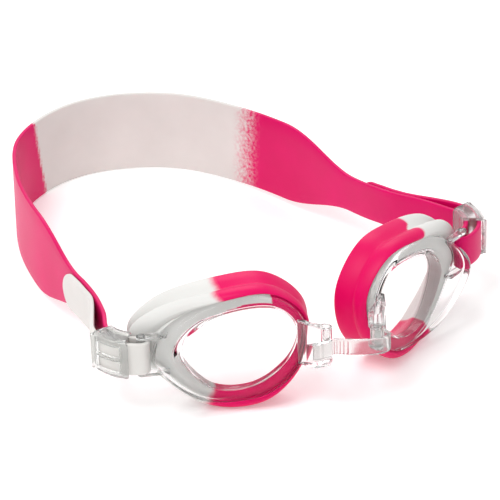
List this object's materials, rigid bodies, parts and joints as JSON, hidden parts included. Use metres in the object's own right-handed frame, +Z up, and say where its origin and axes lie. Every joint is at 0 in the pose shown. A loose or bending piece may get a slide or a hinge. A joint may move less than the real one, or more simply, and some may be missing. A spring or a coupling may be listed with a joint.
{
  "type": "swimming goggles",
  "caption": "Child's swimming goggles: clear cups with soft face seals, a flexible nose bridge, strap adjusters and a broad elastic head strap.",
  "frame": {"origin": "middle of the goggles' outline on the floor they stand on", "axes": "+Z up, front of the goggles towards -Y, strap towards +Y, left cup as seen from the front at -X"},
  "size_m": [0.1456, 0.1886, 0.0432],
  "materials": {
    "clear_lens": "clear, polished",
    "clear_bridge": "clear, soft",
    "clear_adjuster": "clear, polished",
    "pink_seal": "smooth silicone",
    "white_seal": "smooth silicone",
    "pink_strap": "smooth silicone",
    "white_strap": "smooth silicone"
  },
  "bodies": {
    "strap": {"strap_back": "white_strap", "strap_side_left": "pink_strap", "strap_side_right": "pink_strap", "strap_loop_left": "white_strap", "strap_loop_right": "pink_strap"},
    "left_cup": {"lens_cup_left": "clear_lens", "seal_nose_left": "pink_seal", "seal_temple_left": "white_seal"},
    "right_cup": {"lens_cup_right": "clear_lens", "seal_nose_right": "pink_seal", "seal_temple_right": "white_seal"},
    "bridge": {"nose_bridge": "clear_bridge"},
    "left_adjuster": {"strap_adjuster_left": "clear_adjuster"},
    "right_adjuster": {"strap_adjuster_right": "clear_adjuster"}
  },
  "joints": [
    {"name": "left_cup_swing", "type": "hinge", "parent": "strap", "child": "left_cup", "pos_m": [-0.06091, -0.05962, 0.02275], "axis": [0, 0, 1], "range_deg": [-2.2, 0.8]},
    {"name": "right_cup_swing", "type": "hinge", "parent": "strap", "child": "right_cup", "pos_m": [0.05909, -0.05962, 0.02455], "axis": [0, 0, 1], "range_deg": [-0.8, 2.2]},
    {"name": "bridge_turn", "type": "hinge", "parent": "right_cup", "child": "bridge", "pos_m": [0.00959, -0.08672, 0.02165], "axis": [0, 0, 1], "range_deg": [-2.2, 0.8]},
    {"name": "left_adjuster_slide", "type": "hinge", "parent": "strap", "child": "left_adjuster", "pos_m": [-0.05568, -0.04827, 0.02275], "axis": [0, 0, -1], "range_deg": [-6, 24]},
    {"name": "right_adjuster_slide", "type": "hinge", "parent": "strap", "child": "right_adjuster", "pos_m": [0.05639, -0.04773, 0.02455], "axis": [0, 0, 1], "range_deg": [-34, 6]}
  ],
  "couplings": [
    {"joint": "right_cup_swing", "follows": "left_cup_swing", "ratio": -1},
    {"joint": "bridge_turn", "follows": "left_cup_swing", "ratio": 1}
  ]
}
